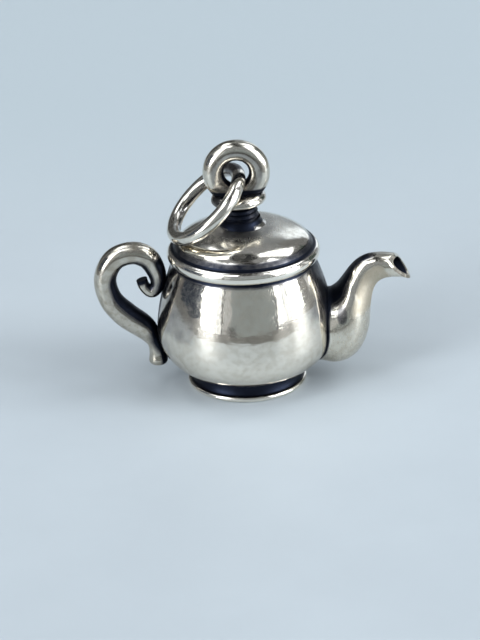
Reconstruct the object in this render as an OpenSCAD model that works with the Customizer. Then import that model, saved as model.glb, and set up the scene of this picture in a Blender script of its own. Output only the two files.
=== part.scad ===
// Silver teapot charm: a hollow pot-bellied body on a foot ring, a fixed domed lid with a
// turned finial and a hanging loop, a curved spout, a scroll handle, and a jump ring
// linked through the loop. The jump ring is the only piece that moves.
// The origin is the centre of the foot's underside. +X points to the spout and +Z up.

/* [Body] */
// Outer radius of the body at its belly
belly_r = 5.63; // [5.3:0.01:6]
// Height of the belly above the foot
belly_rise = 2.75; // [2.4:0.05:3.2]
// Height of the body from the foot to the mouth
body_h = 7.44; // [7:0.02:8]
// Outer radius of the body at its mouth
mouth_r = 4.45; // [4.3:0.01:4.7]
// Slope of the wall at the mouth, in degrees from level
mouth_slope = 65; // [55:1:80]
// Outer radius of the body where it sits on the foot
base_r = 3.4; // [3.2:0.05:3.7]
// Wall thickness of the body
body_wall = 0.55; // [0.4:0.01:0.7]
// Radius of the hole that lets the body pour into the spout
pour_hole_r = 1.1; // [0.8:0.05:1.4]

/* [Foot] */
// Height of the foot ring
foot_h = 0.95; // [0.7:0.05:1.3]
// Outer radius of the foot's lip
foot_lip_r = 3.8; // [3.6:0.02:4.1]
// Height of the foot's lip
foot_lip_h = 0.34; // [0.2:0.02:0.5]
// Inner radius of the foot ring
foot_bore_r = 2.9; // [2.4:0.05:3]

/* [Rim] */
// Thickness of the wire soldered round the mouth
rim_wire_d = 0.9; // [0.7:0.02:1.1]
// Distance of that wire's centreline inside the mouth's outer edge
rim_inset = 0.07; // [0:0.01:0.15]

/* [Lid] */
// Rise of the lid's dome above its edge
lid_rise = 1.52; // [1.2:0.02:1.9]
// How far the lid's edge lies outside the rim wire's centreline
lid_overhang = 0.05; // [0:0.01:0.1]
// How far the centre of the dome's ellipse lies below the lid's edge
lid_drop = 0.37; // [0.1:0.01:0.6]
// Thickness of the lid at its top
lid_wall = 0.4; // [0.35:0.01:0.55]
// Thickness of the flange that centres the lid in the mouth
flange_wall = 0.35; // [0.25:0.01:0.5]
// Depth of that flange below the lid's edge
flange_h = 1.2; // [1.1:0.05:1.6]

/* [Finial] */
// How far the finial leans towards the handle, in degrees
finial_lean = 3; // [0:0.5:6]
// How far off the lid's centre the finial stands, towards the handle
finial_offset = 0.09; // [0:0.01:0.15]
// Height of the grooved neck
neck_h = 1.52; // [1.3:0.02:1.7]
// Radius of the neck at its base
neck_base_r = 1.27; // [1.15:0.01:1.4]
// Radius of the neck at its top
neck_top_r = 1.04; // [0.9:0.01:1.15]
// Number of grooves turned in the neck
neck_grooves = 4; // [2:1:5]
// Width of each groove
groove_w = 0.16; // [0.1:0.01:0.2]
// Depth of each groove
groove_depth = 0.1; // [0.05:0.01:0.15]
// Outer radius of the collar
collar_r = 1.73; // [1.6:0.01:1.9]
// Height of the collar
collar_h = 0.62; // [0.56:0.02:0.8]
// Height of the collar's widest place above its underside
collar_belly = 0.2; // [0.1:0.02:0.3]
// Radius of the collar's flat top
collar_top_r = 1.25; // [1.1:0.05:1.5]
// Radius of the collar's flat underside
collar_under_r = 1.45; // [1.2:0.05:1.55]
// Radius of the pin that holds the finial on the lid
pin_r = 0.45; // [0.3:0.05:0.6]
// Depth of the pin's blind hole in the collar
pin_hole_depth = 0.35; // [0.2:0.05:0.4]
// Radius of the pin's riveted head inside the lid
pin_head_r = 0.85; // [0.75:0.05:1]
// Thickness of that head
pin_head_h = 0.3; // [0.2:0.05:0.4]

/* [Hanging loop] */
// Thickness of the loop's wire
loop_wire_d = 1.32; // [1.2:0.02:1.4]
// Radius of the loop's hole
loop_hole_r = 0.79; // [0.75:0.01:0.95]
// Depth of the flat filed on the loop where it sits on the collar
loop_flat = 0.75; // [0.5:0.02:0.9]

/* [Jump ring] */
// Thickness of the ring's wire
ring_wire_d = 0.9; // [0.8:0.01:0.94]
// Inner diameter of the ring
ring_bore_d = 4.64; // [4.4:0.02:4.8]
// Width of the hairline seam where the ring's ends meet
ring_seam = 0.05; // [0.02:0.01:0.15]
// Swing of the resting ring towards the handle, in degrees from hanging straight down
ring_rest = 48.5; // [47.5:0.5:56]
// Twist of the ring about its own radius, in degrees
ring_twist = 7; // [0:0.5:9]
// Where the ring bears in the loop's hole, in degrees from straight down towards the spout
ring_bearing = 24; // [0:1:40]

/* [Spout] */
// Reach of the spout's lip beyond the belly
spout_out = 4.88; // [4.4:0.02:5.4]
// Height of the spout's lip
spout_lip_z = 6.6; // [6.3:0.02:6.9]
// Height of the top edge of the spout's mouth
spout_top_z = 8.24; // [7.9:0.02:8.6]
// How far that top edge lies behind the lip
mouth_setback = 1.03; // [0.7:0.01:1.3]
// Height of the spout's underside at the body
spout_root_low = 1.28; // [1.15:0.01:1.6]
// Height of the spout's top at the body
spout_root_high = 5.99; // [5.6:0.01:6.3]
// Width of the spout compared with its depth
spout_width = 0.98; // [0.8:0.01:1.1]
// Wall thickness of the spout
spout_wall = 0.26; // [0.2:0.01:0.35]
// How far the mouth's near side is cut back at the lip
mouth_near = 0.25; // [0:0.05:0.4]
// How much further the mouth's near side is cut back at the top
mouth_near_high = 0.5; // [0:0.05:0.6]
// How far the mouth's far side stands forward
mouth_far = 0.1; // [0:0.02:0.2]
// How much narrower the pouring lip is than the rest of the mouth, as a share
lip_pinch = 0.3; // [0:0.05:0.4]

/* [Handle] */
// Reach of the handle beyond the belly
handle_out = 3.87; // [3.4:0.01:4.4]
// Height of the handle's top
handle_top_z = 9.66; // [9:0.02:10.2]
// Height of the handle from top to bottom
handle_h = 8.6; // [8:0.05:9.2]
// Thickness of the handle's bow
handle_d = 1.43; // [1.2:0.01:1.6]

/* [Fit] */
// Width of the solder seams between soldered pieces
seam = 0.01; // [0.005:0.005:0.03]
// Clearance of the lid's flange in the mouth and of the finial's pin in its holes
fit_play = 0.03; // [0.02:0.01:0.06]
// Clearance of the jump ring's wire in the loop's hole
ring_play = 0.05; // [0.03:0.01:0.1]

/* [Hidden] */

silver = "#c6c6c2";
bright_silver = "#dededa";
oxidised_silver = "#3c3c44";

round_steps = 96;    // facets shown round a full turn
wire_steps = 40;     // facets shown round a wire
curve_steps = 14;    // straight steps in each round stretch of an outline
cut_over = 0.5;      // how far a cut runs past the face that it opens

// Heights of the body and the rim
belly_z = foot_h + belly_rise;
mouth_z = foot_h + body_h;
rim_z = mouth_z + seam + rim_wire_d / 2;
rim_r = mouth_r - rim_inset;

// The lid rests on the rim wire, and its cavity is as wide as its flange
lid_z = rim_z + rim_wire_d / 2 + seam;
lid_r = rim_r + lid_overhang;
dome_h = lid_rise + lid_drop;
dome_r = lid_r / sqrt(1 - pow(lid_drop / dome_h, 2));
flange_r = min(rim_r - rim_wire_d / 2, mouth_r - body_wall) - fit_play;
cavity_r = flange_r - flange_wall;
cavity_h = lid_rise - lid_wall;

// The finial stands on a leaning land cut in the dome's top
land_z = dome_top_z(neck_base_r + finial_offset) - neck_base_r * tan(finial_lean);
pin_head_z = cavity_top_z(pin_head_r + finial_offset) - pin_head_r * tan(finial_lean) - land_z - seam;
collar_z = neck_h + seam;
loop_outer_r = loop_hole_r + loop_wire_d;
loop_z = collar_z + collar_h + seam + loop_outer_r - loop_flat;
loop_centre = [-finial_offset - loop_z * sin(finial_lean), 0, land_z + loop_z * cos(finial_lean)];

// The ring's wire bears on the loop's hole, a running clearance away from it
ring_r = (ring_bore_d + ring_wire_d) / 2;
ring_offset = loop_hole_r - ring_wire_d / 2 - ring_play;
ring_seam_angle = ring_seam / ring_r * 180 / PI;

// Height of the dome's outside, and of its inside, at a distance from its axis
function dome_top_z(r) = lid_z - lid_drop + dome_h * sqrt(1 - pow(r / dome_r, 2));
function cavity_top_z(r) = lid_z + cavity_h * sqrt(1 - pow(r / cavity_r, 2));

// ---------- curves ----------

// Point at share t of the cubic curve from a to d, pulled by b and c
function bezier(a, b, c, d, t) =
    pow(1 - t, 3) * a + 3 * pow(1 - t, 2) * t * b + 3 * (1 - t) * pow(t, 2) * c + pow(t, 3) * d;

// That curve in straight steps, without its last point
function bezier_run(a, b, c, d) =
    [for (i = [0 : curve_steps - 1]) bezier(a, b, c, d, i / curve_steps)];

// Part of an ellipse in straight steps from one angle to another, without its last point
function arc_run(centre, rx, rz, from, to) =
    [for (i = [0 : curve_steps - 1])
        let (a = from + (to - from) * i / curve_steps)
        centre + [rx * cos(a), rz * sin(a)]];

// A list from its last entry to its first
function reversed(list) = [for (i = [len(list) - 1 : -1 : 0]) list[i]];

// Point at share t between b and c of the smooth route a, b, c, d
function route_point(a, b, c, d, t) =
    0.5 * (2 * b + (c - a) * t + (2 * a - 5 * b + 4 * c - d) * pow(t, 2)
        + (3 * b - a - 3 * c + d) * pow(t, 3));

// A closed skin over rings of points. Each ring has the same number of points.
// The two end rings are closed by flat lids, or joined to each other if the skin is a loop.
module skin(rings, loop) {
    sides = len(rings[0]);
    last = len(rings) - 1;
    strips = loop ? last : last - 1;
    walls = [for (k = [0 : strips], j = [0 : sides - 1])
        let (a = k * sides, b = (k + 1) % (last + 1) * sides, n = (j + 1) % sides)
        each [[a + j, b + n, b + j], [a + j, a + n, b + n]]];
    ends = loop ? [] : [
        [for (j = [sides - 1 : -1 : 0]) j],
        [for (j = [0 : sides - 1]) last * sides + j]];
    polyhedron(points = [for (ring = rings) each ring], faces = concat(walls, ends));
}

// ---------- body, foot and rim ----------

// Pulls on the outline's two curves, as shares of each curve's reach and height
under_pull = [0.493, 0.127];   // on the underside's curve, out and up from the foot
belly_pull_down = 0.509;       // on that curve, down from the belly
belly_pull_up = 0.3;           // on the shoulder's curve, up from the belly
shoulder_pull = 0.303;         // on that curve, back along the slope at the mouth

// Outline of the body's wall from the foot to the mouth, set in by a wall's thickness
function body_outline(inset) =
    let (base = [base_r - inset, foot_h + inset],
         belly = [belly_r - inset, belly_z],
         mouth = [mouth_r - inset, mouth_z],
         under_reach = belly_r - base_r,
         upper_h = body_h - belly_rise)
    concat(
        bezier_run(base, base + [under_reach * under_pull.x, belly_rise * under_pull.y],
            belly - [0, belly_rise * belly_pull_down], belly),
        bezier_run(belly, belly + [0, upper_h * belly_pull_up],
            mouth + upper_h * shoulder_pull * [cos(mouth_slope), -sin(mouth_slope)], mouth),
        [mouth]);

// Outer radius of the body at a height
body_radii = [for (p = body_outline(0)) [p.y, p.x]];
function body_r_at(z) = lookup(z, body_radii);

// Distance of the body's surface from the plane X = 0, at a height and a distance sideways
function body_x_at(y, z) = sqrt(max(0, pow(body_r_at(z) + seam, 2) - pow(y, 2)));

module body_shell() {
    color(silver)
        difference() {
            rotate_extrude($fn = round_steps)
                polygon(concat(
                    [[0, foot_h]], body_outline(0),
                    reversed(body_outline(body_wall)), [[0, foot_h + body_wall]]));
            translate([0, 0, (spout_root_low + spout_root_high) / 2])
                rotate([0, 90, 0])
                    cylinder(r = pour_hole_r, h = belly_r + cut_over, $fn = round_steps);
        }
}

module foot_ring() {
    lip_edge = foot_lip_h / 2;
    hollow_x = foot_lip_r - lip_edge;
    color(silver)
        rotate_extrude($fn = round_steps)
            polygon(concat(
                [[foot_bore_r, 0]],
                arc_run([hollow_x, lip_edge], lip_edge, lip_edge, -90, 90),
                arc_run([hollow_x, foot_h], hollow_x - base_r, foot_h - foot_lip_h, -90, -180),
                [[base_r, foot_h], [foot_bore_r, foot_h]]));
}

module rim_bead() {
    color(bright_silver)
        translate([0, 0, rim_z])
            wire_ring(rim_r, rim_wire_d, 360);
}

// A round wire bent to a ring about the Z axis
module wire_ring(centreline_r, wire_d, turn) {
    rotate_extrude(angle = turn, $fn = round_steps)
        translate([centreline_r, 0])
            circle(d = wire_d, $fn = wire_steps);
}

// ---------- lid ----------

module lid_dome() {
    edge_angle = asin(lid_drop / dome_h);
    color(silver)
        difference() {
            rotate_extrude($fn = round_steps)
                polygon(concat(
                    arc_run([0, lid_z - lid_drop], dome_r, dome_h, edge_angle, 90),
                    [[0, lid_z + lid_rise]],
                    arc_run([0, lid_z], cavity_r, cavity_h, 90, 0),
                    [[cavity_r, lid_z]]));
            on_finial() cylinder(r = neck_base_r + seam, h = lid_rise, $fn = round_steps);
            on_finial()
                translate([0, 0, -lid_rise])
                    cylinder(r = pin_r + fit_play, h = 2 * lid_rise, $fn = round_steps);
        }
}

module lid_flange() {
    color(silver)
        translate([0, 0, lid_z - flange_h])
            rotate_extrude($fn = round_steps)
                translate([cavity_r, 0])
                    square([flange_wall, flange_h]);
}

// ---------- finial ----------

// Places a piece on the leaning land, with its own Z axis along the finial
module on_finial() {
    translate([-finial_offset, 0, land_z])
        rotate([0, -finial_lean, 0])
            children();
}

// Outline of the neck's outside, with its grooves evenly spaced
function neck_r_at(z) = neck_base_r + (neck_top_r - neck_base_r) * z / neck_h;
function neck_outline() =
    [for (i = [1 : neck_grooves])
        let (z = neck_h * i / (neck_grooves + 1))
        each [[neck_r_at(z), z - groove_w / 2],
              [neck_r_at(z) - groove_depth, z],
              [neck_r_at(z), z + groove_w / 2]]];

module finial_neck() {
    bore = pin_r + fit_play;
    color(oxidised_silver)
        on_finial()
            rotate_extrude($fn = round_steps)
                polygon(concat(
                    [[bore, 0], [neck_base_r, 0]], neck_outline(),
                    [[neck_top_r, neck_h], [bore, neck_h]]));
}

module finial_collar() {
    bore = pin_r + fit_play;
    color(silver)
        on_finial()
            translate([0, 0, collar_z])
                rotate_extrude($fn = round_steps)
                    polygon(concat(
                        [[0, pin_hole_depth], [bore, pin_hole_depth], [bore, 0]],
                        arc_run([collar_under_r, collar_belly],
                            collar_r - collar_under_r, collar_belly, -90, 0),
                        arc_run([collar_top_r, collar_belly],
                            collar_r - collar_top_r, collar_h - collar_belly, 0, 90),
                        [[collar_top_r, collar_h], [0, collar_h]]));
}

module finial_pin() {
    pin_top = collar_z + pin_hole_depth - fit_play;
    color(silver)
        on_finial()
            rotate_extrude($fn = round_steps)
                polygon([
                    [0, pin_head_z - pin_head_h], [pin_head_r, pin_head_z - pin_head_h],
                    [pin_head_r, pin_head_z], [pin_r, pin_head_z],
                    [pin_r, pin_top], [0, pin_top]]);
}

module hanging_loop() {
    color(silver)
        on_finial()
            difference() {
                translate([0, 0, loop_z])
                    rotate([90, 0, 0])
                        wire_ring(loop_outer_r - loop_wire_d / 2, loop_wire_d, 360);
                translate([0, 0, loop_z - loop_outer_r + loop_flat - loop_outer_r / 2])
                    cube([2 * loop_outer_r, 2 * loop_wire_d, loop_outer_r], center = true);
            }
}

// ---------- jump ring ----------

module jump_ring() {
    color(bright_silver)
        translate(loop_centre)
            rotate([0, -ring_bearing, 0])
                translate([0, 0, -ring_offset])
                    rotate([0, ring_bearing + ring_rest, 0])
                        rotate([0, 0, ring_twist])
                            translate([0, 0, -ring_r])
                                rotate([0, 90, 0])
                                    wire_ring(ring_r, ring_wire_d, 360 - ring_seam_angle);
}

// ---------- spout ----------

spout_ribs = 20;             // rings of points along the spout
spout_sides = 30;            // points in each ring
spout_top_pace = 1.3;        // how far the ribs' tops lag behind their lower ends
mouth_start = 0.8;           // share of the spout where the cut of the mouth begins
top_root_gap = 0.2;          // how far outside the body the top's outline curve starts
keel_root_gap = 0.7;         // how far outside the body the underside's curve starts

// The underside's outline has two curves, which meet at its steepest place:
// its share of the spout's reach, and of the rise from the root to the lip
keel_knee = [0.473, 0.562];
keel_z = spout_root_low + (spout_lip_z - spout_root_low) * keel_knee.y;

// Pulls on the outline curves: a share of the spout's reach, out from the belly,
// and a share of the curve's rise, up from the end that the pull is next to
top_pull = [[0.189, 0.209], [0.178, 0.324]];
keel_pull = [[0.125, -0.177], [0.447, 0.124], [0.496, 0.884], [0.537, 0.232]];

// Point on the outline's plane, out from the belly and up from a height by two shares
function spout_point(z, rise, share) = [belly_r + spout_out * share.x, z + rise * share.y];

// Outline of the spout's top, from the body to the mouth, at share u
function spout_top(u) =
    let (rise = spout_top_z - spout_root_high)
    bezier([body_r_at(spout_root_high) + top_root_gap, spout_root_high],
        spout_point(spout_root_high, rise, top_pull[0]),
        spout_point(spout_top_z, rise, top_pull[1]),
        [belly_r + spout_out - mouth_setback, spout_top_z],
        pow(u, spout_top_pace));

// Outline of the spout's underside, from the body to the lip
function spout_keel(u) =
    let (lower = keel_z - spout_root_low,
         upper = spout_lip_z - keel_z,
         knee = spout_point(keel_z, 0, [keel_knee.x, 0]))
    u < 0.5
    ? bezier([body_r_at(spout_root_low) + keel_root_gap, spout_root_low],
        spout_point(spout_root_low, lower, keel_pull[0]),
        spout_point(spout_root_low, lower, keel_pull[1]),
        knee, 2 * u)
    : bezier(knee,
        spout_point(keel_z, upper, keel_pull[2]),
        spout_point(spout_lip_z, upper, keel_pull[3]),
        [belly_r + spout_out, spout_lip_z], 2 * u - 1);

// Ring of points round the spout at share u, set in by a wall's thickness
function spout_ring(u, inset) =
    let (top = spout_top(u), keel = spout_keel(u),
         middle = (top + keel) / 2, depth = norm(top - keel) / 2,
         upwards = (top - keel) / (2 * depth),
         cut = pow(max(0, (u - mouth_start) / (1 - mouth_start)), 2))
    [for (j = [0 : spout_sides - 1])
        let (a = 360 * j / spout_sides,
             high = (1 + cos(a)) / 2, near = max(0, -sin(a)), far = max(0, sin(a)),
             back = cut * (near * (mouth_near + mouth_near_high * high) - far * mouth_far),
             width = spout_width * (1 - lip_pinch * cut * (1 - high)),
             p = middle + (depth - inset) * cos(a) * upwards)
        [p.x - back, (depth * width - inset) * sin(a), p.y]];

// The root ring carried back along X to the body's surface
function spout_root(inset) =
    [for (p = spout_ring(0, inset)) [body_x_at(p.y, p.z), p.y, p.z]];

module spout() {
    shares = [for (k = [0 : spout_ribs]) k / spout_ribs];
    outside = concat([spout_root(0)], [for (u = shares) spout_ring(u, 0)]);
    inside = concat([spout_root(spout_wall)], [for (u = shares) spout_ring(u, spout_wall)]);
    color(silver)
        skin(concat(outside, reversed(inside)), loop = true);
}

// ---------- handle ----------

handle_sides = 16;           // points in each ring
handle_steps = 4;            // rings between two stations

// Stations of the scroll, from the tip of its curl to the end of its tail:
// share of the reach beyond the belly, share of the height down from the top,
// and thickness compared with the bow's
scroll = [
    [0.222, 0.296, 0.50], [0.178, 0.356, 0.52], [0.062, 0.393, 0.60], [-0.041, 0.333, 0.67],
    [-0.021, 0.234, 0.84], [0.121, 0.121, 1.00], [0.372, 0.084, 1.00], [0.664, 0.135, 1.00],
    [0.817, 0.280, 1.00], [0.742, 0.449, 1.05], [0.509, 0.577, 1.15], [0.225, 0.681, 1.08],
    [0.059, 0.788, 0.76], [0.023, 0.879, 0.70], [0.008, 0.943, 0.85], [0.005, 0.973, 0.70],
    [0.005, 0.988, 0.28]];

// Place and radius of the scroll at station k, which may lie between two stations
function scroll_at(k) =
    let (i = min(floor(k), len(scroll) - 2), last = len(scroll) - 1,
         s = route_point(scroll[max(i - 1, 0)], scroll[i], scroll[i + 1],
             scroll[min(i + 2, last)], k - i))
    [-(belly_r + handle_out * s[0]), handle_top_z - handle_h * s[1], handle_d / 2 * s[2]];

// Ring of points round the scroll at k, kept outside the body
function scroll_ring(k) =
    let (c = scroll_at(k),
         ahead = scroll_at(min(k + 0.05, len(scroll) - 1)),
         behind = scroll_at(max(k - 0.05, 0)),
         run = [ahead[0] - behind[0], ahead[1] - behind[1]],
         side = [-run.y, run.x] / norm(run))
    [for (j = [0 : handle_sides - 1])
        let (a = 360 * j / handle_sides,
             y = c[2] * sin(a),
             x = c[0] + c[2] * cos(a) * side.x,
             z = c[1] + c[2] * cos(a) * side.y)
        [min(x, -body_x_at(y, z)), y, z]];

module handle() {
    rings = [for (k = [0 : 1 / handle_steps : len(scroll) - 1]) scroll_ring(k)];
    color(silver)
        skin(rings, loop = false);
}

body_shell();
foot_ring();
rim_bead();
lid_dome();
lid_flange();
finial_neck();
finial_collar();
finial_pin();
hanging_loop();
spout();
handle();
jump_ring();
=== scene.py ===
import math
import bpy
from mathutils import Matrix, Vector


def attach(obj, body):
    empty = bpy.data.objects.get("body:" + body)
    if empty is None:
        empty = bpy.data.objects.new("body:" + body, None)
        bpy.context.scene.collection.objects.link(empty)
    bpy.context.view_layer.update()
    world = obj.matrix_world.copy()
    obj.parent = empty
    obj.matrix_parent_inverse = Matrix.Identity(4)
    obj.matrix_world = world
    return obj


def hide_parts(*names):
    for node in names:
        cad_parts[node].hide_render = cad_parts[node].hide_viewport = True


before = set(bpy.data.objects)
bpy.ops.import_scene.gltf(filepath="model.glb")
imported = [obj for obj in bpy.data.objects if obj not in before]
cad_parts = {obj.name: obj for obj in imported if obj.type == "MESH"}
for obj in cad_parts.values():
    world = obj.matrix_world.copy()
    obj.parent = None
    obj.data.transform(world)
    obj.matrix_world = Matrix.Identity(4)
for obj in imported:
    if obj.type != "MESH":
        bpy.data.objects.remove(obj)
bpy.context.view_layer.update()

# Shapes below are written in millimetres, as in the part's source. The mesh code scales them to
# metres. The studio and the materials are in metres.
MM = 0.001
ROOT, RING = "teapot", "ring"


# ---------------------------------------------------------------- camera

CAMERA_AT = (-0.361, -173.763, 83.325)
CAMERA_PITCH, CAMERA_ROLL = 24.526, 2.0     # degrees below level, and degrees of roll
SENSOR_WIDTH, FOCAL_LENGTH = 36, 168.75
CLIP_START, CLIP_END = 0.005, 50


def make_camera():
    """At the photograph's place, in front of the pot, looking down on it and rolled a little."""
    pitch, roll = math.radians(CAMERA_PITCH), math.radians(CAMERA_ROLL)
    back = Vector((0, -math.cos(pitch), math.sin(pitch)))
    right = Vector((1, 0, 0))
    up = back.cross(right)
    x = math.cos(roll) * right - math.sin(roll) * up
    y = math.sin(roll) * right + math.cos(roll) * up
    data = bpy.data.cameras.new("camera")
    data.sensor_width = SENSOR_WIDTH
    data.lens = FOCAL_LENGTH
    data.clip_start = CLIP_START
    data.clip_end = CLIP_END
    camera = bpy.data.objects.new("camera", data)
    place = Matrix((x, y, back)).transposed().to_4x4()
    place.translation = Vector(CAMERA_AT) * MM
    camera.matrix_world = place
    bpy.context.scene.collection.objects.link(camera)
    bpy.context.scene.camera = camera


make_camera()


# ---------------------------------------------------------------- node helpers

MIX_A, MIX_B, MIX_RESULT = 6, 7, 2           # the Mix node's colour sockets


class Nodes:
    """A short way to write a node tree. A value is a constant or another node's output."""

    def __init__(self, tree):
        self.tree = tree
        tree.nodes.clear()

    def add(self, kind, **values):
        node = self.tree.nodes.new(kind)
        for name, value in values.items():
            setattr(node, name, value)
        return node

    def put(self, value, socket):
        if isinstance(value, bpy.types.NodeSocket):
            self.tree.links.new(value, socket)
        else:
            socket.default_value = value

    def math(self, operation, a, b=0.0, clamp=False):
        node = self.add("ShaderNodeMath", operation=operation, use_clamp=clamp)
        self.put(a, node.inputs[0])
        self.put(b, node.inputs[1])
        return node.outputs[0]

    def plus(self, a, b, clamp=False):
        return self.math("ADD", a, b, clamp)

    def times(self, a, b):
        return self.math("MULTIPLY", a, b)

    def steps(self, value, low, high, to_low=0.0, to_high=1.0):
        """to_low where the value is at low, to_high where it is at high, smooth between."""
        node = self.add("ShaderNodeMapRange", interpolation_type="SMOOTHSTEP")
        for socket, v in zip(node.inputs, (value, low, high, to_low, to_high)):
            self.put(v, socket)
        return node.outputs[0]

    def mix(self, share, a, b):
        node = self.add("ShaderNodeMix", data_type="RGBA")
        self.put(share, node.inputs[0])
        self.put(a, node.inputs[MIX_A])
        self.put(b, node.inputs[MIX_B])
        return node.outputs[MIX_RESULT]

    def noise(self, where, scale, detail=2.0, rough=0.5):
        node = self.add("ShaderNodeTexNoise")
        self.put(where, node.inputs["Vector"])
        self.put(scale, node.inputs["Scale"])
        self.put(detail, node.inputs["Detail"])
        self.put(rough, node.inputs["Roughness"])
        return node.outputs["Fac"]

    def stretched(self, where, scale, turn=(0, 0, 0)):
        node = self.add("ShaderNodeMapping", vector_type="POINT")
        self.put(where, node.inputs["Vector"])
        node.inputs["Scale"].default_value = scale
        node.inputs["Rotation"].default_value = [math.radians(a) for a in turn]
        return node.outputs["Vector"]

    def split(self, vector):
        node = self.add("ShaderNodeSeparateXYZ")
        self.put(vector, node.inputs[0])
        return node.outputs

    def product(self, vector, by):
        node = self.add("ShaderNodeVectorMath", operation="MULTIPLY")
        self.put(vector, node.inputs[0])
        node.inputs[1].default_value = by
        return node.outputs[0]

    def length(self, vector):
        node = self.add("ShaderNodeVectorMath", operation="LENGTH")
        self.put(vector, node.inputs[0])
        return node.outputs["Value"]


def grey(value, warm=0.0):
    """A grey light or colour: a little warm, or a little cool where warm is below 0."""
    return (value * (1 + warm), value, value * (1 - warm), 1)


def shaded(tint, by):
    """A tint with each channel made darker by its share."""
    return (*(t * b for t, b in zip(tint, by)), 1)


# ---------------------------------------------------------------- studio

WOBBLE_SCALE, WOBBLE_SWING = 9.0, 7.0       # unevenness of the cards' upright edges, in degrees
DAYLIGHT = (0.94, 1.0, 1.06)


def make_world():
    """Soft boxes and dark cards round the table, by direction in degrees: azimuth 0 is towards
    the camera and positive to the right, and elevation is above the horizon."""
    world = bpy.data.worlds.new("studio")
    bpy.context.scene.world = world
    world.use_nodes = True
    n = Nodes(world.node_tree)
    direction = n.add("ShaderNodeTexCoord").outputs["Generated"]
    x, y, z = n.split(direction)
    azimuth = n.math("DEGREES", n.math("ARCTAN2", x, n.times(y, -1.0)))
    elevation = n.math("DEGREES", n.math("ARCSINE", z))
    uneven = n.math("SUBTRACT", n.noise(direction, WOBBLE_SCALE, 3.0), 0.5)
    azimuth = n.plus(azimuth, n.times(uneven, WOBBLE_SWING))
    turned = n.math("ABSOLUTE", azimuth)

    def between(value, low, high, soft):
        inside = n.steps(value, low - soft, low + soft)
        outside = n.steps(value, high - soft, high + soft, 1.0, 0.0)
        return n.times(inside, outside)

    room = n.mix(n.steps(elevation, 30, 60), grey(0.15, -0.03), grey(0.30))
    # Each card: its angle (azimuth, or turned for a card on both sides), its left and right
    # edge, its lower and upper edge, how soft the edges are, and its light. A card covers the
    # ones before it.
    cards = [
        # behind the pot
        (turned, 118, 200, -10, 14, 5, grey(0.50, -0.06)),
        (turned, 118, 200, 14, 60, 5, grey(0.24, -0.03)),
        (azimuth, 163, 179, -5, 40, 4, grey(0.40, -0.05)),
        (azimuth, 149, 164, -5, 38, 3, grey(1.3, -0.04)),
        (azimuth, -180, -148, 38, 60, 3, grey(0.05, 0.05)),
        (azimuth, 112, 149, 6, 50, 2.5, grey(0.19, 0.02)),
        (azimuth, -147, -87, 53, 76, 2, grey(3.0)),
        (azimuth, 100, 131, 40, 76, 2, grey(2.8)),
        (azimuth, -172, -122, -8, 44, 3, grey(0.09, 0.02)),
        # above, most of them in front
        (azimuth, -36, 42, 26, 54, 4, grey(0.32, -0.03)),
        (azimuth, -32, 32, 56, 100, 3, grey(0.04, 0.05)),
        (azimuth, -47, -15, 54, 70, 1.5, grey(3.4)),
        (turned, -1, 190, 78, 100, 2, grey(0.03)),
        # in front
        (azimuth, -21, 43, -12, 25, 1.5, (0.31, 0.335, 0.335, 1)),
        # to the left, with a window
        (azimuth, -104, -64, -12, 27, 1.5, (0.062, 0.075, 0.10, 1)),
        (azimuth, -114, -104, -12, 30, 3, grey(0.24, 0.08)),
        (azimuth, -31, -20, -12, 30, 1.5, grey(0.55)),
        (azimuth, -24, -15, -5, 2.5, 3, grey(0.10)),
        (azimuth, -62, -41, -12, 34, 1.2, grey(9.0)),
        (azimuth, -62, -41, 34, 64, 1.2, grey(4.0)),
        (azimuth, -84, -63, 30, 62, 3, grey(2.0)),
        (azimuth, -41, -33.5, -12, 40, 1.0, grey(1.25)),
        (azimuth, -33.5, -31, -12, 40, 0.7, grey(0.22, 0.05)),
        # to the right, with two windows
        (azimuth, 45.5, 54, 1.2, 64, 1.2, grey(4.0)),
        (azimuth, 55.5, 62.5, -12, 60, 1.2, grey(1.5)),
        (azimuth, 64.5, 88.5, -12, 34, 1.2, grey(9.0)),
        (azimuth, 64.5, 85, 34, 64, 1.2, grey(3.6)),
        (azimuth, 90.5, 104, -12, 30, 1.2, grey(0.26, 0.03)),
        (azimuth, 103.5, 111, -12, 30, 1.2, grey(0.9)),
        (azimuth, 114, 134, -12, 30, 2, (0.07, 0.085, 0.075, 1)),
    ]
    for angle, left, right, low, high, soft, light in cards:
        across, upright = between(angle, left, right, soft), between(elevation, low, high, soft)
        room = n.mix(n.times(across, upright), room, light)
    background = n.add("ShaderNodeBackground")
    n.put(n.product(room, DAYLIGHT), background.inputs["Color"])
    background.inputs["Strength"].default_value = 1.0
    n.put(background.outputs[0], n.add("ShaderNodeOutputWorld").inputs[0])


FLOOR_SIZE, FLOOR_Z = 6, -0.00002
PAPER_DARKER, PAPER_LIGHTER = (0.494, 0.538, 0.566, 1), (0.518, 0.564, 0.592, 1)
PAPER_SHADE_BEHIND = (0.462, 0.520, 0.548, 1)
PAPER_BESIDE = (0.190, 0.185, 0.170, 1)
PAPER_IN_FRONT = (0.100, 0.093, 0.084, 1)


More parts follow.
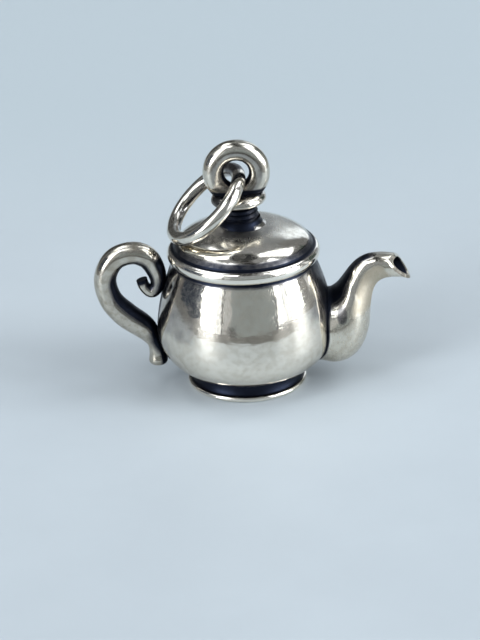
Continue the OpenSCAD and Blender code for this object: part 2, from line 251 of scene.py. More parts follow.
def make_floor():
    """Pale paper with painted shade behind the charm, less of it to the right, and dark grey well
    to the sides of the charm and in front of it, outside the photo's frame."""
    bpy.ops.mesh.primitive_plane_add(size=FLOOR_SIZE, location=(0, 0, FLOOR_Z))
    floor = bpy.context.object
    floor.name = "floor"
    material = bpy.data.materials.new("pale_paper")
    material.use_nodes = True
    n = Nodes(material.node_tree)
    where = n.add("ShaderNodeTexCoord").outputs["Object"]
    cloud = n.noise(where, 60.0, 4.0, 0.6)
    paper = n.mix(n.steps(cloud, 0.3, 0.7), PAPER_DARKER, PAPER_LIGHTER)
    x, y = n.split(where)[:2]
    reach = n.length(where)
    ahead = n.steps(n.math("DIVIDE", y, reach), -0.28, -0.42)
    front = n.times(n.steps(reach, 0.041, 0.053), ahead)
    beside = n.steps(n.math("ABSOLUTE", x), 0.062, 0.085)
    # Painted shade on the paper behind the charm, less of it to the right
    behind = n.times(n.steps(y, 0.005, 0.055), n.steps(x, 0.09, 0.01, 0.3, 1.0))
    paper = n.mix(behind, paper, PAPER_SHADE_BEHIND)
    paper = n.mix(beside, paper, PAPER_BESIDE)
    paper = n.mix(front, paper, PAPER_IN_FRONT)
    shader = n.add("ShaderNodeBsdfPrincipled")
    n.put(paper, shader.inputs["Base Color"])
    shader.inputs["Roughness"].default_value = 0.5
    shader.inputs["Specular IOR Level"].default_value = 0.45
    n.put(shader.outputs[0], n.add("ShaderNodeOutputMaterial").inputs[0])
    floor.data.materials.append(material)


make_world()
make_floor()
scene = bpy.context.scene
scene.view_settings.view_transform = "Standard"
scene.view_settings.look = "None"


# ---------------------------------------------------------------- silver

TARNISHED, BROWNED = (0.62, 0.59, 0.54), (0.34, 0.34, 0.37)    # shares of the clean tint
# The black of oxidation, also used for painted shade and painted dark reflections
OXIDE_AND_SHADE_BLACK = (0.013, 0.016, 0.026, 1)
BLACK_ROUGHNESS = 0.3                                           # what the black of oxidation and painted shade adds
SCRATCH_TURNS = ((0, 20, 35), (60, 0, -25), (15, 75, 80))
SCRATCH_STRETCH = (14000.0, 260.0, 2600.0)
BRUSH_STRETCH = (350.0, 350.0, 9000.0)
RIPPLE_STRETCH = (500.0, 500.0, 2400.0)
DENT_DEPTH, DIMPLE_DEPTH, RIPPLE_DEPTH = 0.00006, 0.000007, 0.0000055
SCRATCH_DEPTH, BRUSH_DEPTH = 0.0000006, 0.0000012
SATIN_FROM, SATIN_FULL = 0.0036, 0.0020                         # distance from the pot's axis


def silver(name, tint=(0.84, 0.785, 0.69), rough=0.045, haze=0.25, brushed=0.0, dents=1.0,
           scratches=1.0, satin=0.0, wear=1.0):
    """Polished silver with cloudy tarnish, fine scratches and the soft dents of hand work. Where
    the mesh's darkening attribute is above 0 it turns brown and then black, for oxidation in seams
    and for painted shade and painted dark reflections, and below 0 it is worn, duller and darker.
    Fine satin specks give the bright reflections a haze."""
    material = bpy.data.materials.new(name)
    material.use_nodes = True
    n = Nodes(material.node_tree)
    where = n.add("ShaderNodeTexCoord").outputs["Object"]
    oxide_and_shade = n.add("ShaderNodeAttribute", attribute_name="oxide_and_shade").outputs["Fac"]
    cloud = n.noise(where, 420.0, 5.0, 0.62)
    mottle = n.noise(where, 2300.0, 4.0, 0.68)

    # colour
    tarnish = n.times(n.steps(cloud, 0.44, 0.64), 0.16 * wear)
    tarnish = n.plus(tarnish, n.times(n.steps(mottle, 0.40, 0.62), 0.38 * wear))
    tarnish = n.plus(tarnish, n.steps(oxide_and_shade, -0.02, -1.0, 0.0, 0.90), clamp=True)
    colour = n.mix(tarnish, (*tint, 1), shaded(tint, TARNISHED))
    wander = n.times(n.math("SUBTRACT", n.noise(where, 900.0, 4.0, 0.65), 0.5), 0.5)
    edge = n.plus(oxide_and_shade, n.times(wander, n.steps(oxide_and_shade, 0.0, 0.25)))
    # Brown, then black: oxidation in seams, and painted shade and painted dark reflections
    brown = n.steps(edge, 0.05, 0.55)
    black = n.steps(edge, 0.42, 0.85)
    colour = n.mix(brown, colour, shaded(tint, BROWNED))
    colour = n.mix(black, colour, OXIDE_AND_SHADE_BLACK)

    # scratches, brush marks and satin specks
    lines = None
    for turn in SCRATCH_TURNS:
        fine = n.noise(n.stretched(where, SCRATCH_STRETCH, turn), 1.0, 1.0, 0.5)
        line = n.steps(fine, 0.66, 0.72)
        lines = line if lines is None else n.math("MAXIMUM", lines, line)
    brush = n.noise(n.stretched(where, BRUSH_STRETCH), 1.0, 2.0, 0.6)
    dust = n.add("ShaderNodeTexWhiteNoise", noise_dimensions="3D")
    n.put(where, dust.inputs["Vector"])
    patchy = n.plus(n.times(n.steps(mottle, 0.40, 0.68), 0.15), 0.03)
    specks = n.math("LESS_THAN", dust.outputs["Value"], patchy)

    # roughness
    rub = n.times(n.steps(mottle, 0.35, 0.75), 0.05)
    rub = n.plus(rub, n.times(lines, 0.10 * scratches))
    rub = n.plus(rub, n.times(n.steps(cloud, 0.45, 0.75), 0.07))
    rub = n.plus(rub, n.times(specks, haze))
    rub = n.plus(rub, rough)
    rub = n.plus(rub, n.times(brown, 0.03))
    rub = n.plus(rub, n.steps(oxide_and_shade, -0.02, -1.0, 0.0, 0.45))
    if satin:
        from_axis = n.length(n.product(where, (1, 1, 0)))
        rub = n.plus(rub, n.steps(from_axis, SATIN_FROM, SATIN_FULL, 0.0, satin))
    roughness = n.plus(rub, n.times(black, BLACK_ROUGHNESS), clamp=True)

    # bumps, each on the normal that the one before it gives
    shader = n.add("ShaderNodeBsdfPrincipled")
    ripple = n.noise(n.stretched(where, RIPPLE_STRETCH), 1.0, 3.0, 0.55)
    normal = None
    for height, depth, inward in (
            (n.noise(where, 330.0, 2.0, 0.5), DENT_DEPTH * dents, False),
            (n.noise(where, 1500.0, 2.0, 0.5), DIMPLE_DEPTH * dents, False),
            (ripple, RIPPLE_DEPTH * dents, False),
            (lines, SCRATCH_DEPTH * scratches, True),
            (brush, BRUSH_DEPTH * brushed, False)):
        bump = n.add("ShaderNodeBump", invert=inward)
        bump.inputs["Strength"].default_value = 1.0
        bump.inputs["Distance"].default_value = depth
        n.put(height, bump.inputs["Height"])
        if normal is not None:
            n.put(normal, bump.inputs["Normal"])
        normal = bump.outputs[0]

    shader.inputs["Metallic"].default_value = 1.0
    n.put(colour, shader.inputs["Base Color"])
    n.put(roughness, shader.inputs["Roughness"])
    n.put(normal, shader.inputs["Normal"])
    n.put(shader.outputs[0], n.add("ShaderNodeOutputMaterial").inputs[0])
    return material


BODY = silver("silver_body", haze=0.32)
BRIGHT = silver("silver_bright", tint=(0.90, 0.85, 0.76), rough=0.04, dents=0.6, wear=0.3)
LID = silver("silver_lid", tint=(0.80, 0.76, 0.68), rough=0.055, scratches=0.5, dents=0.8,
             satin=0.2)
LOOP = silver("silver_loop", tint=(0.73, 0.69, 0.60), rough=0.10, brushed=0.3, dents=1.6)
RING_SILVER = silver("silver_ring", tint=(0.78, 0.74, 0.66), rough=0.07, dents=1.1)
COLLAR = silver("silver_collar", tint=(0.74, 0.70, 0.62), rough=0.07, dents=0.8)
HANDLE = silver("silver_handle", tint=(0.61, 0.57, 0.495), rough=0.07, wear=1.6)
SPOUT = silver("silver_spout", tint=(0.80, 0.75, 0.65), rough=0.06, haze=0.3)
DARK = silver("silver_oxidised", rough=0.16, dents=0.5)


# ---------------------------------------------------------------- curves, as in the part's source

def bezier(a, b, c, d, t):
    """Point at share t of the cubic curve from a to d, pulled by b and c."""
    u = 1 - t
    return [u ** 3 * p + 3 * u * u * t * q + 3 * u * t * t * r + t ** 3 * s
            for p, q, r, s in zip(a, b, c, d)]


def bezier_run(a, b, c, d, steps=48):
    """That curve in straight steps, without its last point."""
    return [bezier(a, b, c, d, i / steps) for i in range(steps)]


def arc_run(centre, rx, rz, start, stop, steps):
    """Part of an ellipse in straight steps, without its last point."""
    angles = [math.radians(start + (stop - start) * i / steps) for i in range(steps)]
    return [[centre[0] + rx * math.cos(a), centre[1] + rz * math.sin(a)] for a in angles]


def near(value, low, high):
    """0 at low and 1 at high, smooth between."""
    t = min(1.0, max(0.0, (value - low) / (high - low)))
    return t * t * (3 - 2 * t)


# ---------------------------------------------------------------- mesh building

SHARP_ANGLE = 38
ON_AXIS = 1e-9


def make_piece(name, shape, material, node, oxide_and_shade, body=ROOT, place=None):
    """A smooth mesh piece from a shape's points in millimetres and its faces. It replaces its CAD
    node, if it has one. The fifth argument is how dark each point is, from oxidation and from
    painted shade and painted dark reflections, or below 0 how worn: a list, or a function of the
    point in the piece's own frame, before place moves it."""
    points, faces = shape
    mesh = bpy.data.meshes.new(name)
    mesh.from_pydata([Vector(p) * MM for p in points], [], faces)
    shares = oxide_and_shade if isinstance(oxide_and_shade, list) else [oxide_and_shade(*p) for p in points]
    mesh.attributes.new("oxide_and_shade", "FLOAT", "POINT").data.foreach_set("value", shares)
    mesh.polygons.foreach_set("use_smooth", [True] * len(mesh.polygons))
    mesh.set_sharp_from_angle(angle=math.radians(SHARP_ANGLE))
    if place is not None:
        mesh.transform(place)
    mesh.validate()
    mesh.materials.append(material)
    piece = bpy.data.objects.new(name, mesh)
    bpy.context.scene.collection.objects.link(piece)
    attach(piece, body)
    if node:
        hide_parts(node)


def lathe(profile, sides=224, closed=True):
    """Points and faces of an outline turned about Z. Each of its points on the axis stays one
    point."""
    points, rows = [], []
    for r, z in profile:
        if r < ON_AXIS:
            rows.append([len(points)] * sides)
            points.append((0, 0, z))
            continue
        rows.append(list(range(len(points), len(points) + sides)))
        for j in range(sides):
            a = 2 * math.pi * j / sides
            points.append((r * math.cos(a), r * math.sin(a), z))
    faces = []
    count = len(rows)
    for k in range(count if closed else count - 1):
        a, b = rows[k], rows[(k + 1) % count]
        for j in range(sides):
            m = (j + 1) % sides
            face = [a[j], a[m], b[m], b[j]]
            face = [v for i, v in enumerate(face) if v != face[i - 1]]
            if len(face) > 2:
                faces.append(face)
    return points, faces


def skin(rings, loop=False):
    """Points and faces of a tube through rings of points. Its ends are closed unless it is a
    loop."""
    sides = len(rings[0])
    points = [p for ring in rings for p in ring]
    faces = []
    count = len(rings)
    for k in range(count if loop else count - 1):
        a, b = k * sides, (k + 1) % count * sides
        for j in range(sides):
            m = (j + 1) % sides
            faces.append([a + j, a + m, b + m, b + j])
    if not loop:
        faces.append(list(range(sides))[::-1])
        faces.append([(count - 1) * sides + j for j in range(sides)])
    return points, faces


def raised(shape, height):
    """The shape moved up."""
    points, faces = shape
    return [(x, y, z + height) for x, y, z in points], faces


def shift(x, y, z):
    """A move by millimetres."""
    return Matrix.Translation(Vector((x, y, z)) * MM)


def rotate(degrees, axis="Y"):
    """A turn about an axis."""
    return Matrix.Rotation(math.radians(degrees), 4, axis)


# ---------------------------------------------------------------- sizes, as in the part's source

SEAM, FIT_PLAY = 0.01, 0.03

FOOT_H, FOOT_LIP_R, FOOT_LIP_H, FOOT_BORE_R = 0.95, 3.8, 0.34, 2.9
BELLY_R, BELLY_RISE = 5.63, 2.75
BODY_H, MOUTH_R, MOUTH_SLOPE = 7.44, 4.45, 65
BASE_R, BODY_WALL = 3.4, 0.55
BELLY_Z, MOUTH_Z = FOOT_H + BELLY_RISE, FOOT_H + BODY_H

RIM_D, RIM_R = 0.9, 4.38
RIM_Z = MOUTH_Z + SEAM + RIM_D / 2

LID_RISE, LID_DROP, LID_WALL = 1.52, 0.37, 0.4
LID_OVERHANG, FLANGE_WALL = 0.05, 0.35
LID_Z, LID_R = RIM_Z + RIM_D / 2 + SEAM, RIM_R + LID_OVERHANG
DOME_H = LID_RISE + LID_DROP
DOME_R = LID_R / math.sqrt(1 - (LID_DROP / DOME_H) ** 2)
CAVITY_R = min(RIM_R - RIM_D / 2, MOUTH_R - BODY_WALL) - FIT_PLAY - FLANGE_WALL
CAVITY_H = LID_RISE - LID_WALL

LEAN, OFFSET = 3, 0.09    # the finial's, towards the handle: degrees, and off the lid's centre
NECK_H, NECK_BASE_R, NECK_TOP_R, GROOVE_DEPTH = 1.52, 1.27, 1.04, 0.1
LAND_Z = (LID_Z - LID_DROP + DOME_H * math.sqrt(1 - ((NECK_BASE_R + OFFSET) / DOME_R) ** 2)
          - NECK_BASE_R * math.tan(math.radians(LEAN)))
COLLAR_Z, COLLAR_H, COLLAR_R = NECK_H + SEAM, 0.62, 1.73
COLLAR_BELLY, COLLAR_TOP_R, COLLAR_UNDER_R = 0.2, 1.25, 1.45

LOOP_D, LOOP_HOLE_R, LOOP_FLAT = 1.32, 0.79, 0.75
LOOP_OUTER_R = LOOP_HOLE_R + LOOP_D
LOOP_Z = COLLAR_Z + COLLAR_H + SEAM + LOOP_OUTER_R - LOOP_FLAT

RING_D, RING_R, RING_SEAM, RING_PLAY = 0.9, 2.77, 0.05, 0.05
RING_REST, RING_TWIST, RING_BEARING = 48.5, 7, 24

# Pulls on the body outline's curves: under the belly, at the belly, and at the mouth
UNDER_PULL = (0.493, 0.127)
BELLY_PULL_DOWN, BELLY_PULL_UP, SHOULDER_PULL = 0.509, 0.3, 0.303

# The finial's own frame, which leans towards the handle
ON_FINIAL = shift(-OFFSET, 0, LAND_Z) @ rotate(-LEAN)


def body_outline(inset=0.0):
    """Outline of the body's wall from the foot to the mouth, set in by a wall's thickness."""
    base, belly = [BASE_R - inset, FOOT_H + inset], [BELLY_R - inset, BELLY_Z]
    mouth = [MOUTH_R - inset, MOUTH_Z]
    upper, slope = BODY_H - BELLY_RISE, math.radians(MOUTH_SLOPE)
    from_base = [base[0] + (BELLY_R - BASE_R) * UNDER_PULL[0],
                 base[1] + BELLY_RISE * UNDER_PULL[1]]
    to_belly = [belly[0], belly[1] - BELLY_RISE * BELLY_PULL_DOWN]
    from_belly = [belly[0], belly[1] + upper * BELLY_PULL_UP]
    to_mouth = [mouth[0] + upper * SHOULDER_PULL * math.cos(slope),
                mouth[1] - upper * SHOULDER_PULL * math.sin(slope)]
    return (bezier_run(base, from_base, to_belly, belly)
            + bezier_run(belly, from_belly, to_mouth, mouth) + [mouth])


BODY_OUTLINE = body_outline()


def body_r_at(z):
    """Outer radius of the body at a height."""
    points = BODY_OUTLINE
    if z <= points[0][1]:
        return points[0][0]
    for (r0, z0), (r1, z1) in zip(points, points[1:]):
        if z0 <= z <= z1:
            return r0 + (r1 - r0) * (z - z0) / max(1e-9, z1 - z0)
    return points[-1][0]


def body_x_at(y, z):
    """Distance of the body's surface from the plane X = 0, with the solder seam."""
    return math.sqrt(max(0.0, (body_r_at(z) + SEAM) ** 2 - y * y))


# ---------------------------------------------------------------- body, foot and rim

SPOUT_ROOT_Z, SPOUT_ROOT_R = 3.63, 2.42
FAR_AWAY = 9.0                   # any distance past the oxide's reach


def spout_root_gap(x, y, z):
    """Distance from the spout's root, taken as a circle on the body's spout side."""
    if x < 0:
        return FAR_AWAY
    return (math.hypot(y / SPOUT_ROOT_R, (z - SPOUT_ROOT_Z) / SPOUT_ROOT_R) - 1) * SPOUT_ROOT_R


def body_oxide_and_shade(x, y, z):
    """Black in the seam at the spout, with brown round it, and black in the seam under the rim
    bead, widened by painted shade below it. More painted shade: black at the foot and brown above
    it, black in a strip behind the handle, and brown low on the handle side. Painted dark
    reflection: dark brown on the upper spout side. And brown on the handle side's shoulder."""
    # Black under the rim bead: the seam, widened by painted shade below the bead
    dark = near(z, MOUTH_Z - 0.42, MOUTH_Z - 0.02)
    # Painted shade at the foot: black, then brown higher up the body
    dark = max(dark, near(z, FOOT_H + 0.30, FOOT_H + 0.12))
    dark = max(dark, 0.38 * near(z, FOOT_H + 1.2, FOOT_H + 0.25))
    gap = spout_root_gap(x, y, z)
    upper = near(z, 4.4, 5.9)
    dark = max(dark, near(gap, 0.2 + 0.8 * upper, 0.02))
    dark = max(dark, 0.42 * near(gap, 0.4 + 2.0 * upper, 0.2 + 0.9 * upper))
    side = abs(math.degrees(math.atan2(y, abs(x))))
    # Painted dark reflection on the upper spout side, dark brown and then brown
    if x > 0:
        flank = 0.74 * near(side, 34, 20) * near(z, 3.9, 5.2)
        fringe = 0.22 * near(side, 50, 42) * near(z, 4.3, 5.3)
        return max(dark, flank, fringe)
    # Painted shade in a strip behind the handle (seam) and low on the handle side (edge)
    seam = near(side, 14, 4) * near(z, 0.9, 1.6) * near(z, 8.6, 7.6)
    shoulder = 0.34 * near(side, 58, 49) * near(z, 3.9, 4.7)
    edge = 0.24 * near(side, 44, 24) * near(z, 4.4, 3.8)
    return max(dark, seam, shoulder, edge)


wall = BODY_OUTLINE + body_outline(BODY_WALL)[::-1]
shell = lathe([[0, FOOT_H]] + wall + [[0, FOOT_H + BODY_WALL]], closed=False)
make_piece("body_silver", shell, BODY, "body_shell", body_oxide_and_shade)


def foot_painted_shade(x, y, z):
    """Black above the lip: painted shade and dark reflection in the cove under the body."""
    return near(z, FOOT_LIP_H - 0.03, FOOT_LIP_H + 0.03)


lip = FOOT_LIP_H / 2
hollow = FOOT_LIP_R - lip
foot = ([[FOOT_BORE_R, 0]] + arc_run([hollow, lip], lip, lip, -90, 90, 20)
        + arc_run([hollow, FOOT_H], hollow - BASE_R, FOOT_H - FOOT_LIP_H, -90, -180, 20)
        + [[BASE_R, FOOT_H], [FOOT_BORE_R, FOOT_H]])
make_piece("foot_silver", lathe(foot), BRIGHT, "foot_ring", foot_painted_shade)


def rim_oxide(x, y, z):
    """Black in the wire's seams with the lid and the body, by the angle round the wire."""
    angle = math.degrees(math.atan2(z - RIM_Z, math.hypot(x, y) - RIM_R))
    return max(near(angle, 52, 72), near(angle, -66, -80))


rim = lathe(arc_run([RIM_R, RIM_Z], RIM_D / 2, RIM_D / 2, -180, 180, 56))
make_piece("rim_silver", rim, BRIGHT, "rim_bead", rim_oxide)


# ---------------------------------------------------------------- lid

def lid_oxide_and_reflection(x, y, z):
    """Black at the edge, in the seam with the rim, and brown round the finial's foot; the dark
    band above the edge is painted dark reflection.
    """
    finial = math.hypot(x + OFFSET, y)
    around = 0.28 * near(finial, NECK_BASE_R + 1.5, NECK_BASE_R + 0.7)
    seam = 0.55 * near(finial, NECK_BASE_R + 0.5, NECK_BASE_R + 0.1)
    # Painted dark reflection on the dome's steep edge
    band = 0.72 * near(z, LID_Z + 0.48, LID_Z + 0.30)
    edge = near(z, LID_Z + 0.16, LID_Z + 0.06)
    return max(around, seam, band, edge)


edge_angle = math.degrees(math.asin(LID_DROP / DOME_H))
dome = (arc_run([0, LID_Z - LID_DROP], DOME_R, DOME_H, edge_angle, 90, 90)
        + [[0, LID_Z + LID_RISE]] + [[0, LID_Z + CAVITY_H]]
        + arc_run([0, LID_Z], CAVITY_R, CAVITY_H, 89, 0, 40) + [[CAVITY_R, LID_Z]])
make_piece("lid_silver", lathe(dome), LID, "lid_dome", lid_oxide_and_reflection)


# ---------------------------------------------------------------- finial

FINIAL_SIDES = 160
NECK_RIDGES = 4


def neck_outline(rows=120):
    """The neck's outline, with sharp ridges evenly spaced between wide grooves."""
    outline = [[0, 0]]
    for i in range(rows + 1):
        z = NECK_H * i / rows
        r = NECK_BASE_R + (NECK_TOP_R - NECK_BASE_R) * z / NECK_H
        place = z / NECK_H * (NECK_RIDGES + 1)
        ridge = max(0.0, math.cos(2 * math.pi * place)) ** 2
        r -= GROOVE_DEPTH * (1 - ridge) * (0.25 < place < NECK_RIDGES + 0.75)
        outline.append([r, z])
    return outline + [[0, NECK_H]]


def neck_oxide(x, y, z):
    """Nearly black all over."""
    return 0.82


neck = lathe(neck_outline(), FINIAL_SIDES, closed=False)
make_piece("neck_silver", neck, DARK, "finial_neck", neck_oxide,
           place=ON_FINIAL)

FILLET_REACH, FILLET_RISE, FILLET_DROP, FILLET_SUNK = 0.62, 0.496, 0.14, 0.02
FILLET_INNER = [1.0, -0.3]       # its hidden edge inside the neck
FILLET_OUTER_Z = -0.4            # its hidden edge under the lid's surface


def fillet_outline(steps=24):
    """The rounded solder from the neck's side down to the lid."""
    outline = [FILLET_INNER]
    for i in range(steps + 1):
        a = math.radians(90 - 90 * i / steps)
        out = 1 - math.sin(a)
        outline.append([NECK_BASE_R - FILLET_SUNK + FILLET_REACH * out,
                        FILLET_RISE * (1 - math.cos(a)) - FILLET_DROP * out - FILLET_SUNK])
    return outline + [[NECK_BASE_R + FILLET_REACH, FILLET_OUTER_Z]]


def fillet_oxide_and_reflection(x, y, z):
    """Black at the neck and brown below and to the sides; black across the middle is a painted
    reflection of the dark neck.
    """
    return max(near(z, 0.03, 0.24), 0.35, 0.85 * near(abs(x), 1.05, 0.75))


make_piece("neck_fillet", lathe(fillet_outline(), FINIAL_SIDES), COLLAR, None, fillet_oxide_and_reflection,
           place=ON_FINIAL)


def collar_oxide_and_shade(x, y, z):
    """Black underneath, black as painted shadow where the loop stands, and brown as painted shade
    on the handle side.
    """
    under = near(z, COLLAR_Z + 0.08, COLLAR_Z + 0.01)
    top = near(z, COLLAR_Z + 0.45, COLLAR_Z + 0.6)
    # Painted shadow where the loop stands, and painted shade on the handle side
    loop = near(math.hypot(x / 1.75, y / 0.72), 1.12, 0.9) * top
    left = 0.62 * near(x, -0.5, -1.3)
    return max(under, loop, left)


collar = ([[0, 0]]
          + arc_run([COLLAR_UNDER_R, COLLAR_BELLY], COLLAR_R - COLLAR_UNDER_R, COLLAR_BELLY,
                    -90, 0, 16)
          + arc_run([COLLAR_TOP_R, COLLAR_BELLY], COLLAR_R - COLLAR_TOP_R,
                    COLLAR_H - COLLAR_BELLY, 0, 90, 20)
          + [[COLLAR_TOP_R, COLLAR_H], [0, COLLAR_H]])
collar = raised(lathe(collar, FINIAL_SIDES, closed=False), COLLAR_Z)
make_piece("collar_silver", collar, COLLAR, "finial_collar", collar_oxide_and_shade, place=ON_FINIAL)


# ---------------------------------------------------------------- loop and jump ring

def torus(ring_r, wire_d, sides, wire_sides, start=0.0, turn=360.0):
    """Rings of points round a wire that is bent about the Y axis, from straight down."""
    rings = []
    whole = turn > 359.999
    for k in range(sides if whole else sides + 1):
        a = math.radians(start + turn * k / sides)
        ring = []
        for j in range(wire_sides):
            b = 2 * math.pi * j / wire_sides
            r = ring_r + wire_d / 2 * math.cos(b)
            ring.append((r * math.sin(a), wire_d / 2 * math.sin(b), -r * math.cos(a)))
        rings.append(ring)
    return rings


FLAT_Z = -LOOP_OUTER_R + LOOP_FLAT    # height of the loop's flat foot below its centre


def loop_oxide(x, y, z):
    """Black at the flat foot and in the hole, and brown low down and on the faces round the
    hole."""
    foot = near(z, LOOP_Z + FLAT_Z + 0.46, LOOP_Z + FLAT_Z + 0.16)
    r = math.hypot(x, z - LOOP_Z)
    hole = near(r, LOOP_HOLE_R + 0.22, LOOP_HOLE_R + 0.08)
    low = near(z - LOOP_Z, 0.5, -0.5) * near(r, LOOP_HOLE_R + 0.75, LOOP_HOLE_R + 0.2)
    face = 0.36 * near(r, LOOP_HOLE_R + LOOP_D * 0.72, LOOP_HOLE_R + LOOP_D * 0.55)
    return max(foot, hole, low * 0.5, face)


rings = torus(LOOP_HOLE_R + LOOP_D / 2, LOOP_D, 160, 48)
rings = [[(x, y, max(z, FLAT_Z)) for x, y, z in ring] for ring in rings]
loop = raised(skin(rings, loop=True), LOOP_Z)
make_piece("loop_silver", loop, LOOP, "hanging_loop", loop_oxide, place=ON_FINIAL)


def ring_oxide_and_shade(x, y, z):
    """Brown on the inner side, and painted shade on the stretch that lies behind the loop's hole.
    """
    inner = 0.4 * near(math.hypot(x, z), RING_R - 0.30, RING_R - 0.44)
    stretch = 0.62 * near(z, 1.7, 2.2) * near(x, -0.2, 0.2)
    return max(inner, stretch)


lean = math.radians(LEAN)
loop_centre = (-OFFSET - LOOP_Z * math.sin(lean), 0, LAND_Z + LOOP_Z * math.cos(lean))
ring_place = (shift(*loop_centre) @ rotate(-RING_BEARING)
              @ shift(0, 0, -(LOOP_HOLE_R - RING_D / 2 - RING_PLAY))
              @ rotate(RING_BEARING + RING_REST) @ rotate(RING_TWIST, "Z")
              @ shift(0, 0, -RING_R) @ rotate(90, "Z"))
gap = RING_SEAM / RING_R * 180 / math.pi
jump_ring = skin(torus(RING_R, RING_D, 220, 40, start=gap / 2, turn=360 - gap))
make_piece("jump_ring_silver", jump_ring, RING_SILVER, "jump_ring", ring_oxide_and_shade, body=RING,
           place=ring_place)


# ---------------------------------------------------------------- spout

SPOUT_OUT, LIP_Z, TOP_Z, SETBACK = 4.88, 6.6, 8.24, 1.03
ROOT_LOW, ROOT_HIGH = 1.28, 5.99
SPOUT_WIDTH, SPOUT_WALL = 0.98, 0.26
NEAR_CUT, NEAR_HIGH, FAR_CUT, PINCH = 0.25, 0.5, 0.1, 0.3
NEAR_BEVEL = 0.22                # how much less the bore's edge is cut back on the near side
CUT_FROM, CUT_SPAN = 0.8, 0.2    # shares of the spout before the mouth's cut and along it
TOP_PACE, TOP_ROOT_GAP, KEEL_ROOT_GAP = 1.3, 0.2, 0.7
TOP_PULL = ((0.189, 0.209), (0.178, 0.324))
KEEL_PULL = ((0.125, -0.177), (0.447, 0.124), (0.496, 0.884), (0.537, 0.232))
KNEE = (0.473, 0.562)
KNEE_Z = ROOT_LOW + (LIP_Z - ROOT_LOW) * KNEE[1]
SPOUT_SIDES, SPOUT_ROWS = 72, 80
# A painted dark reflection: a patch on the near side, by the root
PATCH_X, PATCH_Z, PATCH_RX, PATCH_RZ, PATCH_Y = 6.08, 5.05, 0.36, 0.6, -0.7


def spout_point(z, rise, share):
    """Point out from the belly and up from a height by two shares."""
    return [BELLY_R + SPOUT_OUT * share[0], z + rise * share[1]]


def spout_top(u):
    """Outline of the spout's top, from the body to the mouth, at share u."""
    rise = TOP_Z - ROOT_HIGH
    return bezier([body_r_at(ROOT_HIGH) + TOP_ROOT_GAP, ROOT_HIGH],
                  spout_point(ROOT_HIGH, rise, TOP_PULL[0]), spout_point(TOP_Z, rise, TOP_PULL[1]),
                  [BELLY_R + SPOUT_OUT - SETBACK, TOP_Z], u ** TOP_PACE)


def spout_keel(u):
    """Outline of the spout's underside, from the body to the lip, at share u."""
    lower, upper = KNEE_Z - ROOT_LOW, LIP_Z - KNEE_Z
    knee = spout_point(KNEE_Z, 0, (KNEE[0], 0))
    if u < 0.5:
        return bezier([body_r_at(ROOT_LOW) + KEEL_ROOT_GAP, ROOT_LOW],
                      spout_point(ROOT_LOW, lower, KEEL_PULL[0]),
                      spout_point(ROOT_LOW, lower, KEEL_PULL[1]), knee, 2 * u)
    return bezier(knee, spout_point(KNEE_Z, upper, KEEL_PULL[2]),
                  spout_point(LIP_Z, upper, KEEL_PULL[3]), [BELLY_R + SPOUT_OUT, LIP_Z], 2 * u - 1)


def spout_ring(u, inset):
    """Ring of points round the spout at share u, set in by a wall's thickness."""
    top, keel = Vector(spout_top(u)), Vector(spout_keel(u))
    middle, depth = (top + keel) / 2, (top - keel).length / 2
    upwards = (top - keel).normalized()
    cut = max(0.0, (u - CUT_FROM) / CUT_SPAN) ** 2
    bevel = NEAR_BEVEL if inset else 0.0
    ring = []
    for j in range(SPOUT_SIDES):
        a = 2 * math.pi * j / SPOUT_SIDES
        high = (1 + math.cos(a)) / 2
        near_side, far_side = max(0.0, -math.sin(a)), max(0.0, math.sin(a))
        back = cut * (near_side * (NEAR_CUT + NEAR_HIGH * high - bevel) - far_side * FAR_CUT)
        width = SPOUT_WIDTH * (1 - PINCH * cut * (1 - high))
        p = middle + (depth - inset) * math.cos(a) * upwards
        ring.append((p.x - back, (depth * width - inset) * math.sin(a), p.y))
    return ring


def spout_root(inset):
    """The first ring carried back along X to the body's surface."""
    return [(body_x_at(y, z), y, z) for x, y, z in spout_ring(0, inset)]


def spout_oxide_and_reflection(p, share, high):
    """Black in the seam at the root; dark along the top and in a patch on the near side, which is
    painted dark reflection; and worn elsewhere: share is the point's place along the spout, and
    high is 1 at the top of its ring and -1 at the bottom."""
    x, y, z = p
    seam = near(math.hypot(x, y) - body_r_at(z), 0.22 + 0.5 * near(z, 4.8, 5.8), 0.02)
    # Painted dark reflection along the top, near the root (hollow) and near the mouth (line)
    hollow = 0.9 * near(high, 0.64, 0.90) * near(share, 0.55, 0.25)
    line = 0.8 * near(high, 0.80, 0.92) * near(share, 0.92, 0.80)
    dark = max(seam, hollow, line)
    # Painted dark reflection: a patch on the near side, by the root
    if y < PATCH_Y:
        patch = math.hypot((x - PATCH_X) / PATCH_RX, (z - PATCH_Z) / PATCH_RZ)
        dark = max(dark, 0.6 * near(patch, 1.25, 0.6))
    worn = near(high, 0.55, 0.15) * near(share, 0.96, 0.85) * (0.36 + 0.64 * near(z, 4.7, 5.5))
    return dark if dark > 0 else -worn


shares = [k / SPOUT_ROWS for k in range(SPOUT_ROWS + 1)]
outside = [spout_root(0)] + [spout_ring(u, 0) for u in shares]
inside = [spout_root(SPOUT_WALL)] + [spout_ring(u, SPOUT_WALL) for u in shares]
spout = skin(outside + inside[::-1], loop=True)
spout_dark = []
for i, p in enumerate(spout[0]):
    row, j = divmod(i, SPOUT_SIDES)
    if row < len(outside):
        share, high = max(0, row - 1) / SPOUT_ROWS, math.cos(2 * math.pi * j / SPOUT_SIDES)
        spout_dark.append(spout_oxide_and_reflection(p, share, high))
    else:
        # The bore is black, apart from its ring at the mouth.
        spout_dark.append(near(row - len(outside), 0.0, 1.0))
make_piece("spout_silver", spout, SPOUT, "spout", spout_dark)


# ---------------------------------------------------------------- handle

HANDLE_OUT, HANDLE_TOP_Z, HANDLE_H, HANDLE_D = 3.87, 9.66, 8.6, 1.43
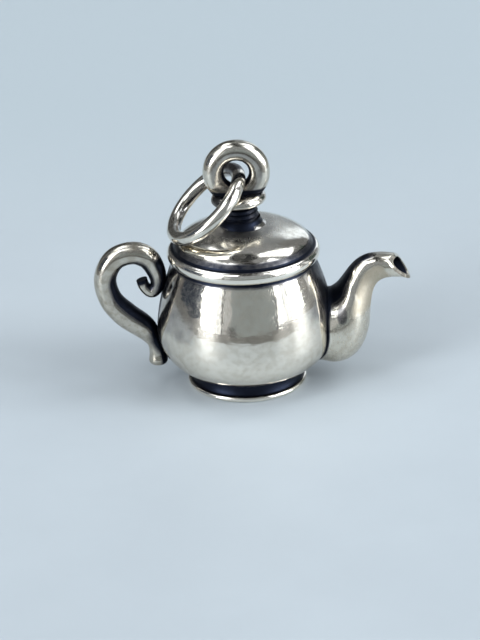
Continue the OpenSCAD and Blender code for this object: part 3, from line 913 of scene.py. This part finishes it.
# Stations of the scroll, from the curl's tip to the tail's end: share of the reach beyond the
# belly, share of the height down from the top, and thickness compared with the bow's
SCROLL = [
    (0.222, 0.296, 0.50), (0.178, 0.356, 0.52), (0.062, 0.393, 0.60), (-0.041, 0.333, 0.67),
    (-0.021, 0.234, 0.84), (0.121, 0.121, 1.00), (0.372, 0.084, 1.00), (0.664, 0.135, 1.00),
    (0.817, 0.280, 1.00), (0.742, 0.449, 1.05), (0.509, 0.577, 1.15), (0.225, 0.681, 1.08),
    (0.059, 0.788, 0.76), (0.023, 0.879, 0.70), (0.008, 0.943, 0.85), (0.005, 0.973, 0.70),
    (0.005, 0.988, 0.28)]
SCROLL_LAST = len(SCROLL) - 1
HANDLE_SIDES, HANDLE_STEPS = 48, 16
AHEAD = 0.05                     # how far each way, in stations, the scroll's direction is taken
HANDLE_SPOT = (-6.4, -0.25, 9.3)    # a small dark spot on top of the scroll


def route_point(a, b, c, d, t):
    """Point at share t between b and c of the smooth route a, b, c, d."""
    return [0.5 * (2 * q + (r - p) * t + (2 * p - 5 * q + 4 * r - w) * t * t
                   + (3 * q - p - 3 * r + w) * t ** 3)
            for p, q, r, w in zip(a, b, c, d)]


def scroll_at(k):
    """Place and radius of the scroll at station k, which may lie between two stations."""
    i = min(int(k), SCROLL_LAST - 1)
    route = (SCROLL[max(0, min(SCROLL_LAST, m))] for m in (i - 1, i, i + 1, i + 2))
    s = route_point(*route, k - i)
    return -(BELLY_R + HANDLE_OUT * s[0]), HANDLE_TOP_Z - HANDLE_H * s[1], HANDLE_D / 2 * s[2]


def scroll_ring(k):
    """Ring of points round the scroll at station k, kept outside the body."""
    x0, z0, r = scroll_at(k)
    ahead, behind = scroll_at(min(k + AHEAD, SCROLL_LAST)), scroll_at(max(k - AHEAD, 0))
    run = Vector((ahead[0] - behind[0], ahead[1] - behind[1])).normalized()
    side = Vector((-run.y, run.x))
    ring = []
    for j in range(HANDLE_SIDES):
        a = 2 * math.pi * j / HANDLE_SIDES
        y = r * math.sin(a)
        x, z = x0 + r * math.cos(a) * side.x, z0 + r * math.cos(a) * side.y
        ring.append((min(x, -body_x_at(y, z)), y, z))
    return ring


def handle_oxide_and_shade(p, k, inner):
    """Painted shade and painted dark reflection where the handle faces the body: black at the
    body, on the inner side of the curl, the bow and the tail, and on the curl's outside. Black at
    the curl's tip, a small dark spot on top, and worn on the outside of the top: k is the point's
    station, and inner is 1 on the side towards the middle of the curl and the bow and -1 on the
    other side."""
    gap = math.hypot(p[0], p[1]) - body_r_at(p[2])
    # Painted shade and dark reflection where the handle faces the body, down to the next
    # comment-free terms for the tip and the spot
    dark = max(near(gap, 0.9, 0.1), 0.8 * near(gap, 3.4, 1.6) * near(inner, 0.1, 0.6))
    dark = max(dark, near(inner, 0.05, 0.70) * near(k, 6.6, 8.2) * near(k, 15.6, 14.0))
    dark = max(dark, 0.9 * near(inner, 0.45, 0.92) * near(k, 0.3, 1.0) * near(k, 8.4, 7.4))
    dark = max(dark, 0.9 * near(k, 0.75, 0.35))
    dark = max(dark, near(inner, 0.0, -0.55) * near(k, 2.3, 3.2) * near(k, 5.2, 4.3))
    dark = max(dark, 0.5 * near(math.dist(p, HANDLE_SPOT), 0.3, 0.12))
    worn = near(inner, -0.2, -0.7) * near(k, 4.9, 5.7) * near(k, 6.8, 6.0)
    return dark if dark > 0 else -0.47 * worn


stations = [k / HANDLE_STEPS for k in range(HANDLE_STEPS * SCROLL_LAST + 1)]
handle = skin([scroll_ring(k) for k in stations])
handle_dark = []
for i, p in enumerate(handle[0]):
    row, j = divmod(i, HANDLE_SIDES)
    inner = math.cos(2 * math.pi * j / HANDLE_SIDES)
    handle_dark.append(handle_oxide_and_shade(p, stations[row], inner))
make_piece("handle_silver", handle, HANDLE, "handle", handle_dark)


# ---------------------------------------------------------------- inner pieces

for name in ("lid_flange", "finial_pin"):
    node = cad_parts[name]
    node.data.materials.clear()
    node.data.materials.append(DARK)

bpy.context.view_layer.update()
